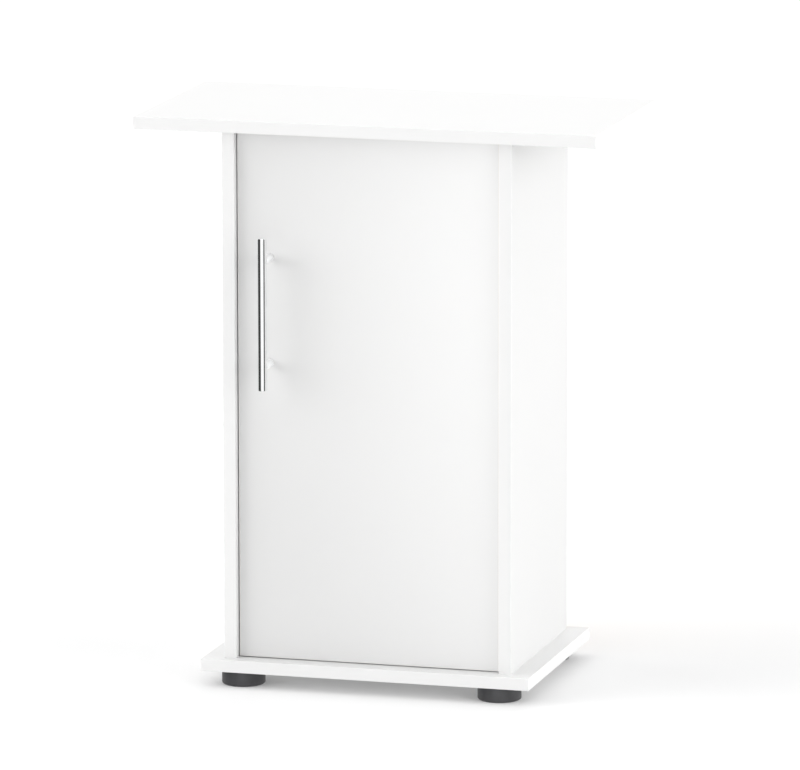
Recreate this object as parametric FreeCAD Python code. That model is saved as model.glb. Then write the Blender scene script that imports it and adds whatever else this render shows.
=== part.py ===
import FreeCAD, Part
import math
import os

# Aquarium stand cabinet: a flat-pack body of 16 mm melamine-faced board under a wide tank top.
# Millimetres. +Z is up, the door faces -Y, +X is to the right of someone facing the door.
# The origin is on the floor, under the middle of the whole outline, handle included.

V = FreeCAD.Vector
UP = V(0, 0, 1)
DOWN = V(0, 0, -1)
RIGHT = V(1, 0, 0)
REARWARD = V(0, 1, 0)

# --- Boards -------------------------------------------------------------------------------------
BOARD = 16.0                # thickness of every melamine board
BAND = 1.0                  # thickness of the edging tape glued to a board's visible edges
BAND_ROUND = 0.6            # softening of the tape's outer corners
TOP_WIDTH = 605.0           # top panel, sized for a 60 x 30 cm tank
TOP_DEPTH = 310.0
OVERALL_HEIGHT = 735.0
BODY_WIDTH = 380.0          # over the outer faces of the side panels
BODY_INSET = 15.0           # side panels' edges, back from the top's front and rear edges
BASE_WIDTH = 434.0          # base panel, as deep as the top

# --- Feet ---------------------------------------------------------------------------------------
FOOT_HEIGHT = 20.0
FOOT_DIAMETER = 56.0
FOOT_FROM_SIDE = 47.0       # foot centre to the base panel's side edge
FOOT_FROM_FRONT = 34.0      # foot centre to the base panel's front or rear edge
FOOT_CHAMFER = 2.0          # bevel of the tread's rim
FOOT_WELL_DIAMETER = 26.0   # hollow under the foot that takes the screw
FOOT_FLOOR = 5.0            # foot material left between the well and the board
FOOT_SCREW_DIAMETER = 4.5
FOOT_SCREW_LENGTH = 17.0    # under the screw's head
FOOT_SCREW_HEAD = 9.0

# --- Back panel ---------------------------------------------------------------------------------
BACK_THICKNESS = 3.0
BACK_FROM_REAR = 10.0       # back panel's rear face to the side panels' rear edges
GROOVE_DEPTH = 5.0
GROOVE_PLAY = 0.2           # groove wider than the hardboard
BACK_PLAY = 0.5             # back panel short of the bottom of its grooves
PORT_DIAMETER = 60.0        # hose and cable ports near the back panel's upper corners
PORT_FROM_SIDE = 55.0       # port centre to the inner face of the side panel
PORT_FROM_TOP = 60.0        # port centre to the underside of the top

# --- Shelf --------------------------------------------------------------------------------------
SHELF_HEIGHT = 330.0        # underside of the shelf above the base panel
SHELF_PLAY = 0.5            # at each end and at the back
SHELF_SETBACK = 12.0        # shelf's front edge behind the door's rear face
PIN_DIAMETER = 5.0
PIN_DEPTH = 9.0
PIN_REACH = 8.0             # how far a pin stands out under the shelf
PIN_FLANGE_DIAMETER = 8.0
PIN_FLANGE = 1.0
PIN_FROM_SHELF_EDGE = 37.0
HOLE_PITCH = 32.0
SPARE_HOLES = 1             # spare pin holes above and below the ones in use

# --- Joining hardware ---------------------------------------------------------------------------
CAM_DIAMETER = 15.0
CAM_DEPTH = 12.5
CAM_SLOT_LENGTH = 10.0      # arms of the cam's cross-shaped driver slot
CAM_SLOT_WIDTH = 2.0
CAM_SLOT_DEPTH = 2.0
CAM_DISTANCE = 24.0         # cam centre below the top's underside
CAM_FROM_EDGE = 50.0        # cam centre to the side panel's front or rear edge
BOLT_DIAMETER = 6.0
BOLT_NECK_DIAMETER = 3.6
BOLT_HEAD_DIAMETER = 5.6
BOLT_HEAD_HEIGHT = 2.0
BOLT_NECK = 3.0             # length of the neck between the head and the shank
BOLT_THREAD = 11.0          # length of the bolt's thread in the top
BOLT_BORE_DIAMETER = 8.0
DOWEL_DIAMETER = 8.0
DOWEL_LENGTH = 30.0
DOWEL_IN_FACE = 11.0        # how deep a dowel goes into a board's face
DOWEL_FROM_EDGE = 100.0     # dowel centre to the side panel's front or rear edge
DOWEL_PLAY = 0.05
DOWEL_FLUTES = 12
SCREW_DIAMETER = 7.0        # confirmat screw, base to side panel
SCREW_LENGTH = 50.0
SCREW_HEAD_DIAMETER = 10.0
SCREW_HEAD_DEPTH = 3.0
SCREW_FROM_EDGE = 65.0

# --- Door ---------------------------------------------------------------------------------------
DOOR_RECESS = 10.0          # door's front face behind the side panels' front edges
DOOR_GAP = 2.5              # at the hinge edge and over the door
DOOR_HANDLE_GAP = 1.5       # at the handle edge
DOOR_FOOT_GAP = 1.2         # under the door

# --- Handle -------------------------------------------------------------------------------------
BAR_DIAMETER = 12.0
BAR_LENGTH = 196.0
BAR_CHAMFER = 0.8
POST_SPACING = 136.0
POST_DIAMETER = 10.0
BAR_PROJECTION = 34.0       # bar's axis in front of the door's front face
BAR_FROM_EDGE = 42.5        # bar's axis to the door's left edge
BAR_FROM_TOP = 227.0        # middle of the bar below the door's top edge
HANDLE_SCREW_DIAMETER = 4.0
HANDLE_SCREW_GRIP = 10.0    # thread inside the post
HANDLE_SCREW_HEAD = 8.0
HANDLE_SCREW_HEAD_HEIGHT = 2.4
SPIGOT_DIAMETER = 5.0       # end of a post that plugs into the bar
SPIGOT_DEPTH = 4.0

# --- Concealed hinges ---------------------------------------------------------------------------
HINGE_FROM_END = 100.0      # hinge centre to the door's top or bottom edge
PIVOT_FROM_EDGE = 13.5      # pin axis to the door's hinge edge
PIVOT_DEPTH = 8.8           # pin axis below the door's rear face
PIVOT_PIN_DIAMETER = 3.0
PIVOT_PLAY = 0.05           # radial, pin in the arm's eye
PIN_SEAT = 5.0              # length of the pin in each cheek of the cup
CUP_DIAMETER = 35.0
CUP_DEPTH = 13.0
CUP_FLOOR = 0.8
CUP_WALL = 1.2
CUP_FROM_EDGE = 4.5         # cup's wall to the door's hinge edge
CUP_PLAY = 0.05
FLANGE = 1.0                # cup's flange on the door's rear face
FLANGE_MARGIN = 1.5         # flange wider than the cup
CUP_SCREW_SPACING = 45.0
CUP_SCREW_OFFSET = 9.5      # screw line beyond the cup's centre, away from the hinge edge
EAR_RADIUS = 6.0
ARM_THICKNESS = 5.6
ARM_HEIGHT = 15.0
ARM_PLAY = 0.5              # arm to each side of the pocket in the cup
ARM_BEND = 5.0              # radius of the arm's bends, at its middle
ARM_NECK = 17.5             # the arm's neck beyond the pin axis, away from the hinge edge
ARM_RISE = 26.0             # the arm's cross leg behind the pin axis
ARM_TAIL = 50.0             # length of the leg that lies on the mounting plate
PLATE_THICKNESS = 5.2
PLATE_WIDTH = 20.0
WING_WIDTH = 12.0           # the wings that carry the screws
WING_THICKNESS = 3.0
PLATE_SCREW_SPACING = 32.0
PLATE_SCREW_SETBACK = 37.0  # plate's screw line behind the door's rear face
FIXING_DIAMETER = 3.5       # small wood screws of the hinges, catch and strike plate
FIXING_HEAD_DIAMETER = 7.0
FIXING_HEAD_HEIGHT = 1.8
FIXING_LENGTH = 11.0
STRIKE_HEAD_DIAMETER = 6.0
CLAMP_DIAMETER = 4.0        # machine screws that hold each arm on its mounting plate
CLAMP_SPACING = 24.0

# --- Magnetic catch -----------------------------------------------------------------------------
CATCH_FROM_TOP = 66.0       # middle of the catch below the door's top edge
CATCH_LENGTH = 46.0
CATCH_WIDTH = 18.0
CATCH_DEPTH = 15.0
CATCH_LUG = 8.0             # length of each screw lug
CATCH_LUG_THICKNESS = 4.0
MAGNET_LENGTH = 22.0
MAGNET_WIDTH = 8.0
MAGNET_DEPTH = 12.0
MAGNET_PROUD = 0.4          # pole plates in front of the housing
STRIKE_THICKNESS = 1.5
STRIKE_LENGTH = 30.0
STRIKE_WIDTH = 11.0
STRIKE_GAP = 0.1            # strike plate to the pole plates with the door shut

# --- Levels and lines that the pieces share -----------------------------------------------------
BASE_Z = FOOT_HEIGHT
BODY_Z = BASE_Z + BOARD
TOP_Z = OVERALL_HEIGHT - BOARD
BODY_X = BODY_WIDTH / 2
INNER_X = BODY_X - BOARD
FRONT_Y = -TOP_DEPTH / 2 + BODY_INSET
REAR_Y = TOP_DEPTH / 2 - BODY_INSET
DOOR_FRONT = FRONT_Y + DOOR_RECESS
DOOR_REAR = DOOR_FRONT + BOARD
DOOR_RIGHT = INNER_X - DOOR_GAP
DOOR_LEFT = -INNER_X + DOOR_HANDLE_GAP
DOOR_BOTTOM = BODY_Z + DOOR_FOOT_GAP
DOOR_TOP = TOP_Z - DOOR_GAP
GROOVE_REAR = REAR_Y - BACK_FROM_REAR
GROOVE_FRONT = GROOVE_REAR - BACK_THICKNESS - GROOVE_PLAY
SHELF_Z = BODY_Z + SHELF_HEIGHT
SHELF_FRONT = DOOR_REAR + SHELF_SETBACK
SHELF_REAR = GROOVE_FRONT - SHELF_PLAY
SHELF_X = INNER_X - SHELF_PLAY
PIN_LINES = (SHELF_FRONT + PIN_FROM_SHELF_EDGE, SHELF_REAR - PIN_FROM_SHELF_EDGE)
PIN_Z = SHELF_Z - PIN_DIAMETER / 2
PANEL_X = BODY_X - BOARD / 2
CAM_Z = TOP_Z - CAM_DISTANCE
CAM_LINES = (FRONT_Y + CAM_FROM_EDGE, REAR_Y - CAM_FROM_EDGE)
DOWEL_LINES = (FRONT_Y + DOWEL_FROM_EDGE, REAR_Y - DOWEL_FROM_EDGE)
SCREW_LINES = (FRONT_Y + SCREW_FROM_EDGE, REAR_Y - SCREW_FROM_EDGE)
FOOT_X = BASE_WIDTH / 2 - FOOT_FROM_SIDE
FOOT_Y = TOP_DEPTH / 2 - FOOT_FROM_FRONT
BAR_Y = DOOR_FRONT - BAR_PROJECTION
BAR_X = DOOR_LEFT + BAR_FROM_EDGE
BAR_Z = DOOR_TOP - BAR_FROM_TOP
POST_LEVELS = {"upper": BAR_Z + POST_SPACING / 2, "lower": BAR_Z - POST_SPACING / 2}
HINGE_LEVELS = {"upper": DOOR_TOP - HINGE_FROM_END, "lower": DOOR_BOTTOM + HINGE_FROM_END}
PIVOT_X = DOOR_RIGHT - PIVOT_FROM_EDGE
PIVOT_Y = DOOR_REAR - PIVOT_DEPTH
CUP_X = DOOR_RIGHT - CUP_FROM_EDGE - CUP_DIAMETER / 2
CUP_SCREW_X = CUP_X - CUP_SCREW_OFFSET
PLATE_FACE = INNER_X - PLATE_THICKNESS
PLATE_Y = DOOR_REAR + PLATE_SCREW_SETBACK
ARM_TAIL_X = PLATE_FACE - ARM_THICKNESS / 2
ARM_CROSS_Y = PIVOT_Y + ARM_RISE
CLAMP_LINES = (PLATE_Y - CLAMP_SPACING / 2, PLATE_Y + CLAMP_SPACING / 2)
CATCH_Z = DOOR_TOP - CATCH_FROM_TOP
STRIKE_FACE = DOOR_REAR + STRIKE_THICKNESS
MAGNET_FACE = STRIKE_FACE + STRIKE_GAP
MAGNET_X = -INNER_X + CATCH_WIDTH / 2

# The handle stands out past the top's front edge, so the middle of the outline is in front of the
# middle of the top by half of that overhang.
HANDLE_OVERHANG = -TOP_DEPTH / 2 - (BAR_Y - BAR_DIAMETER / 2)
OUTLINE_SHIFT = V(0, HANDLE_OVERHANG / 2, 0)


# --- Shapes -------------------------------------------------------------------------------------

def box(x, y, z):
    """A box that fills three ranges, each given as its two ends."""
    low = V(min(x), min(y), min(z))
    return Part.makeBox(max(x) - low.x, max(y) - low.y, max(z) - low.z, low)


def rod(diameter, length, foot, direction=UP):
    """A round rod, or the tool for a round hole, from its foot along a direction."""
    return Part.makeCylinder(diameter / 2, length, foot, direction)


def faceted(diameter, length, foot, direction=UP, sides=6):
    """A straight bar with flat sides, or the tool for its hole: a plain shank inside the boards."""
    corners = []
    for step in range(sides + 1):
        angle = 2 * math.pi * step / sides
        corners.append(V(math.cos(angle), math.sin(angle), 0) * (diameter / 2))
    bar = Part.Face(Part.makePolygon(corners)).extrude(UP * length)
    bar.Placement = FreeCAD.Placement(foot, FreeCAD.Rotation(UP, direction))
    return bar


def turned(profile, foot, direction=UP):
    """A turned piece: (radius, height) points revolved about an axis that starts at its foot."""
    points = [V(radius, 0, height) for radius, height in profile]
    outline = Part.makePolygon(points + [points[0]])
    solid = Part.Face(outline).revolve(V(0, 0, 0), UP, 360)
    solid.Placement = FreeCAD.Placement(foot, FreeCAD.Rotation(UP, direction))
    return solid


def screw(diameter, length, head_diameter, head_height, foot, direction):
    """A screw seated with the underside of its head at the foot, driven along direction."""
    head = rod(head_diameter, head_height, foot - direction * head_height, direction)
    return head.fuse(faceted(diameter, length, foot, direction))


def fixing(foot, direction):
    """One of the small wood screws that hold the hinges, the catch and the strike plate."""
    return screw(FIXING_DIAMETER, FIXING_LENGTH, FIXING_HEAD_DIAMETER, FIXING_HEAD_HEIGHT,
                 foot, direction)


def countersunk(diameter, length, head_diameter, head_depth, foot, direction):
    """A screw whose conical head lies flush at the foot, driven along direction."""
    head = turned([(0, 0), (head_diameter / 2, 0), (diameter / 2, head_depth), (0, head_depth)],
                  foot, direction)
    shank = faceted(diameter, length - head_depth, foot + direction * head_depth, direction)
    return head.fuse(shank)


def rounded_path(corners, radius):
    """A flat wire through the corners, with an arc of the radius at each bend."""
    edges = []
    start = corners[0]
    for before, corner, after in zip(corners, corners[1:], corners[2:]):
        back = (before - corner).normalize()
        ahead = (after - corner).normalize()
        half_angle = back.getAngle(ahead) / 2
        reach = radius / math.tan(half_angle)
        inward = (back + ahead).normalize()
        entry = corner + back * reach
        leave = corner + ahead * reach
        middle = corner + inward * (radius / math.sin(half_angle) - radius)
        edges.append(Part.makeLine(start, entry))
        edges.append(Part.Arc(entry, middle, leave).toShape())
        start = leave
    edges.append(Part.makeLine(start, corners[-1]))
    return Part.Wire(edges)


# --- Boards and their edging --------------------------------------------------------------------

def edging(x, y, z, outward):
    """A strip of edging tape whose outer long edges are softened. Outward is its face's normal."""
    strip = box(x, y, z)
    face_level = max(strip.BoundBox.getPoint(i).dot(outward) for i in range(8))
    longest = max(edge.Length for edge in strip.Edges)
    corners = []
    for edge in strip.Edges:
        on_face = all(abs(vertex.Point.dot(outward) - face_level) < 1e-6 for vertex in edge.Vertexes)
        if on_face and abs(edge.Length - longest) < 1e-6:
            corners.append(edge)
    return strip.makeFillet(BAND_ROUND, corners)


def lying_board(half_width, half_depth, bottom):
    """A horizontal board with edging on all four edges: its core, then its strips."""
    z = (bottom, bottom + BOARD)
    core_x = half_width - BAND
    core_y = half_depth - BAND
    core = box((-core_x, core_x), (-core_y, core_y), z)
    strips = []
    for side in (-1, 1):
        ends = (side * core_y, side * half_depth)
        strips.append(edging((-half_width, half_width), ends, z, V(0, side, 0)))
        ends = (side * core_x, side * half_width)
        strips.append(edging(ends, (-core_y, core_y), z, V(side, 0, 0)))
    return core, strips


def standing_door():
    """The door's core and the strips on its four edges."""
    y = (DOOR_FRONT, DOOR_REAR)
    core_x = (DOOR_LEFT + BAND, DOOR_RIGHT - BAND)
    core_z = (DOOR_BOTTOM + BAND, DOOR_TOP - BAND)
    core = box(core_x, y, core_z)
    height = (DOOR_BOTTOM, DOOR_TOP)
    strips = [edging((DOOR_LEFT, core_x[0]), y, height, V(-1, 0, 0)),
              edging((core_x[1], DOOR_RIGHT), y, height, RIGHT),
              edging(core_x, y, (DOOR_BOTTOM, core_z[0]), DOWN),
              edging(core_x, y, (core_z[1], DOOR_TOP), UP)]
    return core, strips


def horizontal_groove(bottom, top):
    """The groove that a horizontal board has for the back panel's edge."""
    half = INNER_X + GROOVE_DEPTH
    return box((-half, half), (GROOVE_FRONT, GROOVE_REAR), (bottom, top))


# --- Joining hardware ---------------------------------------------------------------------------

def cam_bolt(x, y):
    """A bolt that hangs from the top's underside with its head inside the cam lock."""
    foot = V(x, y, CAM_Z - BOLT_HEAD_HEIGHT / 2)
    head = rod(BOLT_HEAD_DIAMETER, BOLT_HEAD_HEIGHT, foot)
    neck = faceted(BOLT_NECK_DIAMETER, BOLT_NECK, foot + UP * BOLT_HEAD_HEIGHT)
    shank_z = BOLT_HEAD_HEIGHT + BOLT_NECK
    shank = faceted(BOLT_DIAMETER, CAM_DISTANCE + BOLT_THREAD - shank_z, foot + UP * shank_z)
    return head.fuse([neck, shank])


def cam_lock(side, y):
    """A round cam in the side panel's inner face, hollow where the bolt's head hooks in."""
    face = V(side * INNER_X, y, CAM_Z)
    outward = V(side, 0, 0)
    cam = rod(CAM_DIAMETER, CAM_DEPTH, face, outward)
    passage = rod(BOLT_BORE_DIAMETER, CAM_DIAMETER, V(side * PANEL_X, y, CAM_Z - BOLT_HEAD_DIAMETER / 2))
    slot_x = (side * INNER_X, side * (INNER_X + CAM_SLOT_DEPTH))
    long, short = CAM_SLOT_LENGTH / 2, CAM_SLOT_WIDTH / 2
    upright_slot = box(slot_x, (y - short, y + short), (CAM_Z - long, CAM_Z + long))
    level_slot = box(slot_x, (y - long, y + long), (CAM_Z - short, CAM_Z + short))
    return cam.cut([passage, upright_slot, level_slot])


def dowel(x, y, bottom):
    """A fluted wooden dowel."""
    return faceted(DOWEL_DIAMETER, DOWEL_LENGTH, V(x, y, bottom), sides=DOWEL_FLUTES)


def dowel_hole(x, y, bottom):
    """The hole for a whole dowel, through the joint between two boards."""
    return faceted(DOWEL_DIAMETER + 2 * DOWEL_PLAY, DOWEL_LENGTH, V(x, y, bottom), sides=DOWEL_FLUTES)


def joinery():
    """Cam locks, cam bolts, dowels and base screws, and the holes that the boards need for them."""
    cams = []
    bolts = []
    dowels = []
    screws = []
    bores = []
    for side in (-1, 1):
        x = side * PANEL_X
        for y in CAM_LINES:
            cams.append(cam_lock(side, y))
            bolts.append(cam_bolt(x, y))
            bores.append(rod(CAM_DIAMETER, CAM_DEPTH, V(side * INNER_X, y, CAM_Z), V(side, 0, 0)))
            bores.append(rod(BOLT_BORE_DIAMETER, CAM_DISTANCE, V(x, y, CAM_Z)))
        for y in DOWEL_LINES:
            for bottom in (TOP_Z + DOWEL_IN_FACE - DOWEL_LENGTH, BODY_Z - DOWEL_IN_FACE):
                dowels.append(dowel(x, y, bottom))
                bores.append(dowel_hole(x, y, bottom))
        for y in SCREW_LINES:
            screws.append(countersunk(SCREW_DIAMETER, SCREW_LENGTH, SCREW_HEAD_DIAMETER,
                                      SCREW_HEAD_DEPTH, V(x, y, BASE_Z), UP))
    return cams, bolts, dowels, screws, bores


def shelf_pin_holes():
    """Rows of shelf pin holes in both side panels: the ones in use and the spare ones."""
    holes = []
    for side in (-1, 1):
        for y in PIN_LINES:
            for step in range(-SPARE_HOLES, SPARE_HOLES + 1):
                mouth = V(side * INNER_X, y, PIN_Z + step * HOLE_PITCH)
                holes.append(rod(PIN_DIAMETER, PIN_DEPTH, mouth, V(side, 0, 0)))
    return holes


def shelf_pins():
    """Four flanged pins that carry the shelf."""
    pins = []
    for side in (-1, 1):
        for y in PIN_LINES:
            radius = PIN_DIAMETER / 2
            flange = PIN_FLANGE_DIAMETER / 2
            stem = PIN_DEPTH + PIN_FLANGE
            profile = [(0, 0), (radius, 0), (radius, PIN_DEPTH), (flange, PIN_DEPTH),
                       (flange, stem), (radius, stem), (radius, stem + PIN_REACH),
                       (0, stem + PIN_REACH)]
            inner_end = V(side * (INNER_X + PIN_DEPTH), y, PIN_Z)
            pins.append(turned(profile, inner_end, V(-side, 0, 0)))
    return pins


# --- Body of the cabinet ------------------------------------------------------------------------

def side_panel(side, tools):
    """One side panel and its front edging: side is -1 on the left and 1 on the right."""
    x = (side * INNER_X, side * BODY_X)
    z = (BODY_Z, TOP_Z)
    board = box(x, (FRONT_Y + BAND, REAR_Y), z)
    groove_x = (side * INNER_X, side * (INNER_X + GROOVE_DEPTH))
    groove = box(groove_x, (GROOVE_FRONT, GROOVE_REAR), z)
    band = edging(x, (FRONT_Y, FRONT_Y + BAND), z, V(0, -1, 0))
    return board.cut([groove] + tools), band


def back_panel():
    """Thin hardboard in the grooves, with two round ports for hoses and cables."""
    half = INNER_X + GROOVE_DEPTH - BACK_PLAY
    front = GROOVE_FRONT + GROOVE_PLAY / 2
    sheet = box((-half, half), (front, front + BACK_THICKNESS),
                (BODY_Z - GROOVE_DEPTH, TOP_Z + GROOVE_DEPTH - BACK_PLAY))
    ports = []
    for side in (-1, 1):
        centre = V(side * (INNER_X - PORT_FROM_SIDE), front, TOP_Z - PORT_FROM_TOP)
        ports.append(rod(PORT_DIAMETER, BACK_THICKNESS, centre, REARWARD))
    return sheet.cut(ports)


def shelf():
    """The shelf's board, notched over the pins' flanges, and its front edging."""
    z = (SHELF_Z, SHELF_Z + BOARD)
    board = box((-SHELF_X, SHELF_X), (SHELF_FRONT + BAND, SHELF_REAR), z)
    band = edging((-SHELF_X, SHELF_X), (SHELF_FRONT, SHELF_FRONT + BAND), z, V(0, -1, 0))
    return board.cut(shelf_pins()), band


def foot_and_screw(side, end):
    """A round plastic foot and the screw in its well. End is -1 at the front and 1 at the rear."""
    centre = V(side * FOOT_X, end * FOOT_Y, 0)
    rim = FOOT_DIAMETER / 2
    well = FOOT_WELL_DIAMETER / 2
    seat = FOOT_HEIGHT - FOOT_FLOOR
    body = turned([(0, seat), (well, seat), (well, 0), (rim - FOOT_CHAMFER, 0), (rim, FOOT_CHAMFER),
                   (rim, FOOT_HEIGHT), (0, FOOT_HEIGHT)], centre)
    driven = screw(FOOT_SCREW_DIAMETER, FOOT_SCREW_LENGTH, FOOT_SCREW_HEAD, FIXING_HEAD_HEIGHT,
                   centre + UP * seat, UP)
    return body.cut(driven), driven


# --- Door and handle ----------------------------------------------------------------------------

def handle():
    """The bar, its two posts and the screws that come through the door."""
    bar = rod(BAR_DIAMETER, BAR_LENGTH, V(BAR_X, BAR_Y, BAR_Z - BAR_LENGTH / 2))
    posts = {}
    screws = []
    spigots = []
    for name, level in POST_LEVELS.items():
        root = V(BAR_X, DOOR_FRONT, level)
        driven = screw(HANDLE_SCREW_DIAMETER, BOARD + HANDLE_SCREW_GRIP, HANDLE_SCREW_HEAD,
                       HANDLE_SCREW_HEAD_HEIGHT, V(BAR_X, DOOR_REAR, level), V(0, -1, 0))
        reach = BAR_PROJECTION - BAR_DIAMETER / 2 + SPIGOT_DEPTH
        spigot = rod(SPIGOT_DIAMETER, reach, root, V(0, -1, 0))
        post = rod(POST_DIAMETER, BAR_PROJECTION, root, V(0, -1, 0)).cut(bar)
        posts[name] = post.fuse(spigot).removeSplitter().cut(driven)
        spigots.append(spigot)
        screws.append(driven)
    end_edges = [edge for edge in bar.Edges if isinstance(edge.Curve, Part.Circle)]
    bar = bar.makeChamfer(BAR_CHAMFER, end_edges).cut(spigots)
    return bar, posts, screws


# --- Concealed hinges ---------------------------------------------------------------------------

def hinge_arm(level):
    """A goose-neck arm: it reaches round the door's edge into the cup, with the pin's eye at its tip."""
    bottom = level - ARM_HEIGHT / 2
    neck_x = PIVOT_X - ARM_NECK
    corners = [V(PIVOT_X, PIVOT_Y, bottom), V(neck_x, PIVOT_Y, bottom), V(neck_x, ARM_CROSS_Y, bottom),
               V(ARM_TAIL_X, ARM_CROSS_Y, bottom), V(ARM_TAIL_X, ARM_CROSS_Y + ARM_TAIL, bottom)]
    outline = rounded_path(corners, ARM_BEND).makeOffset2D(ARM_THICKNESS / 2)
    bent = Part.Face(outline).extrude(UP * ARM_HEIGHT)
    eye = rod(PIVOT_PIN_DIAMETER + 2 * PIVOT_PLAY, ARM_HEIGHT, V(PIVOT_X, PIVOT_Y, bottom))
    return bent.cut(eye)


def arm_screws(level):
    """The two machine screws that hold an arm on its mounting plate."""
    return [screw(CLAMP_DIAMETER, ARM_THICKNESS + PLATE_THICKNESS, FIXING_HEAD_DIAMETER,
                  FIXING_HEAD_HEIGHT, V(PLATE_FACE - ARM_THICKNESS, y, level), RIGHT)
            for y in CLAMP_LINES]


def mounting_plate(level):
    """The raised plate under an arm's tail, with a thinner wing and screw above and below."""
    front = ARM_CROSS_Y + ARM_THICKNESS / 2
    raised = box((PLATE_FACE, INNER_X), (front, ARM_CROSS_Y + ARM_TAIL),
                 (level - PLATE_WIDTH / 2, level + PLATE_WIDTH / 2))
    wing_x = INNER_X - WING_THICKNESS
    half = PLATE_SCREW_SPACING / 2
    wings = box((wing_x, INNER_X), (PLATE_Y - WING_WIDTH / 2, PLATE_Y + WING_WIDTH / 2),
                (level - half, level + half))
    ends = [rod(WING_WIDTH, WING_THICKNESS, V(wing_x, PLATE_Y, level + side * half), RIGHT)
            for side in (-1, 1)]
    screws = [fixing(V(wing_x, PLATE_Y, level + side * half), RIGHT) for side in (-1, 1)]
    plate = raised.fuse([wings] + ends).removeSplitter()
    return plate, screws


def hinge_cup(level):
    """A cup with a slot for the arm between two solid cheeks, its flange, screws and pivot pin."""
    floor = DOOR_REAR - CUP_DEPTH
    shell = rod(CUP_DIAMETER, CUP_DEPTH, V(CUP_X, floor, level), REARWARD)
    disc = rod(CUP_DIAMETER + 2 * FLANGE_MARGIN, FLANGE, V(CUP_X, DOOR_REAR, level), REARWARD)
    half = CUP_SCREW_SPACING / 2
    flange_y = (DOOR_REAR, DOOR_REAR + FLANGE)
    strap = box((CUP_SCREW_X - EAR_RADIUS, CUP_SCREW_X + EAR_RADIUS), flange_y,
                (level - half, level + half))
    ears = [rod(2 * EAR_RADIUS, FLANGE, V(CUP_SCREW_X, DOOR_REAR, level + side * half), REARWARD)
            for side in (-1, 1)]
    screws = [fixing(V(CUP_SCREW_X, DOOR_REAR + FLANGE, level + side * half), V(0, -1, 0))
              for side in (-1, 1)]
    slot_half = ARM_HEIGHT / 2 + ARM_PLAY
    hollow = rod(CUP_DIAMETER - 2 * CUP_WALL, CUP_DEPTH + FLANGE,
                 V(CUP_X, floor + CUP_FLOOR, level), REARWARD)
    slot = box((CUP_X - CUP_DIAMETER, CUP_X + CUP_DIAMETER), (floor, DOOR_REAR + FLANGE),
               (level - slot_half, level + slot_half))
    pin_foot = V(PIVOT_X, PIVOT_Y, level - slot_half - PIN_SEAT)
    pin = rod(PIVOT_PIN_DIAMETER, 2 * (slot_half + PIN_SEAT), pin_foot)
    drilling = rod(PIVOT_PIN_DIAMETER, CUP_DIAMETER, pin_foot)
    cup = shell.fuse([disc, strap] + ears).removeSplitter()
    return cup.cut([hollow.common(slot), drilling] + screws), screws, pin


# --- Magnetic catch -----------------------------------------------------------------------------

def magnetic_catch():
    """The housing on the left side panel, its magnet, the strike plate on the door and the screws."""
    face = -INNER_X
    front = MAGNET_FACE + MAGNET_PROUD
    half = CATCH_LENGTH / 2
    block = box((face, face + CATCH_WIDTH), (front, front + CATCH_DEPTH),
                (CATCH_Z - half + CATCH_LUG, CATCH_Z + half - CATCH_LUG))
    lugs = box((face, face + CATCH_LUG_THICKNESS), (front, front + CATCH_DEPTH),
               (CATCH_Z - half, CATCH_Z + half))
    magnet = box((MAGNET_X - MAGNET_WIDTH / 2, MAGNET_X + MAGNET_WIDTH / 2),
                 (MAGNET_FACE, MAGNET_FACE + MAGNET_DEPTH),
                 (CATCH_Z - MAGNET_LENGTH / 2, CATCH_Z + MAGNET_LENGTH / 2))
    lug_middle = half - CATCH_LUG / 2
    screws = [fixing(V(face + CATCH_LUG_THICKNESS, front + CATCH_DEPTH / 2, CATCH_Z + side * lug_middle),
                     V(-1, 0, 0))
              for side in (-1, 1)]
    housing = block.fuse(lugs).removeSplitter().cut([magnet] + screws)
    strike_screw = countersunk(FIXING_DIAMETER, FIXING_LENGTH, STRIKE_HEAD_DIAMETER,
                               STRIKE_THICKNESS, V(MAGNET_X, STRIKE_FACE, CATCH_Z), V(0, -1, 0))
    strike = box((MAGNET_X - STRIKE_WIDTH / 2, MAGNET_X + STRIKE_WIDTH / 2),
                 (DOOR_REAR, STRIKE_FACE),
                 (CATCH_Z - STRIKE_LENGTH / 2, CATCH_Z + STRIKE_LENGTH / 2)).cut(strike_screw)
    return housing, magnet, screws, strike, strike_screw


# --- The whole cabinet --------------------------------------------------------------------------

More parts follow.
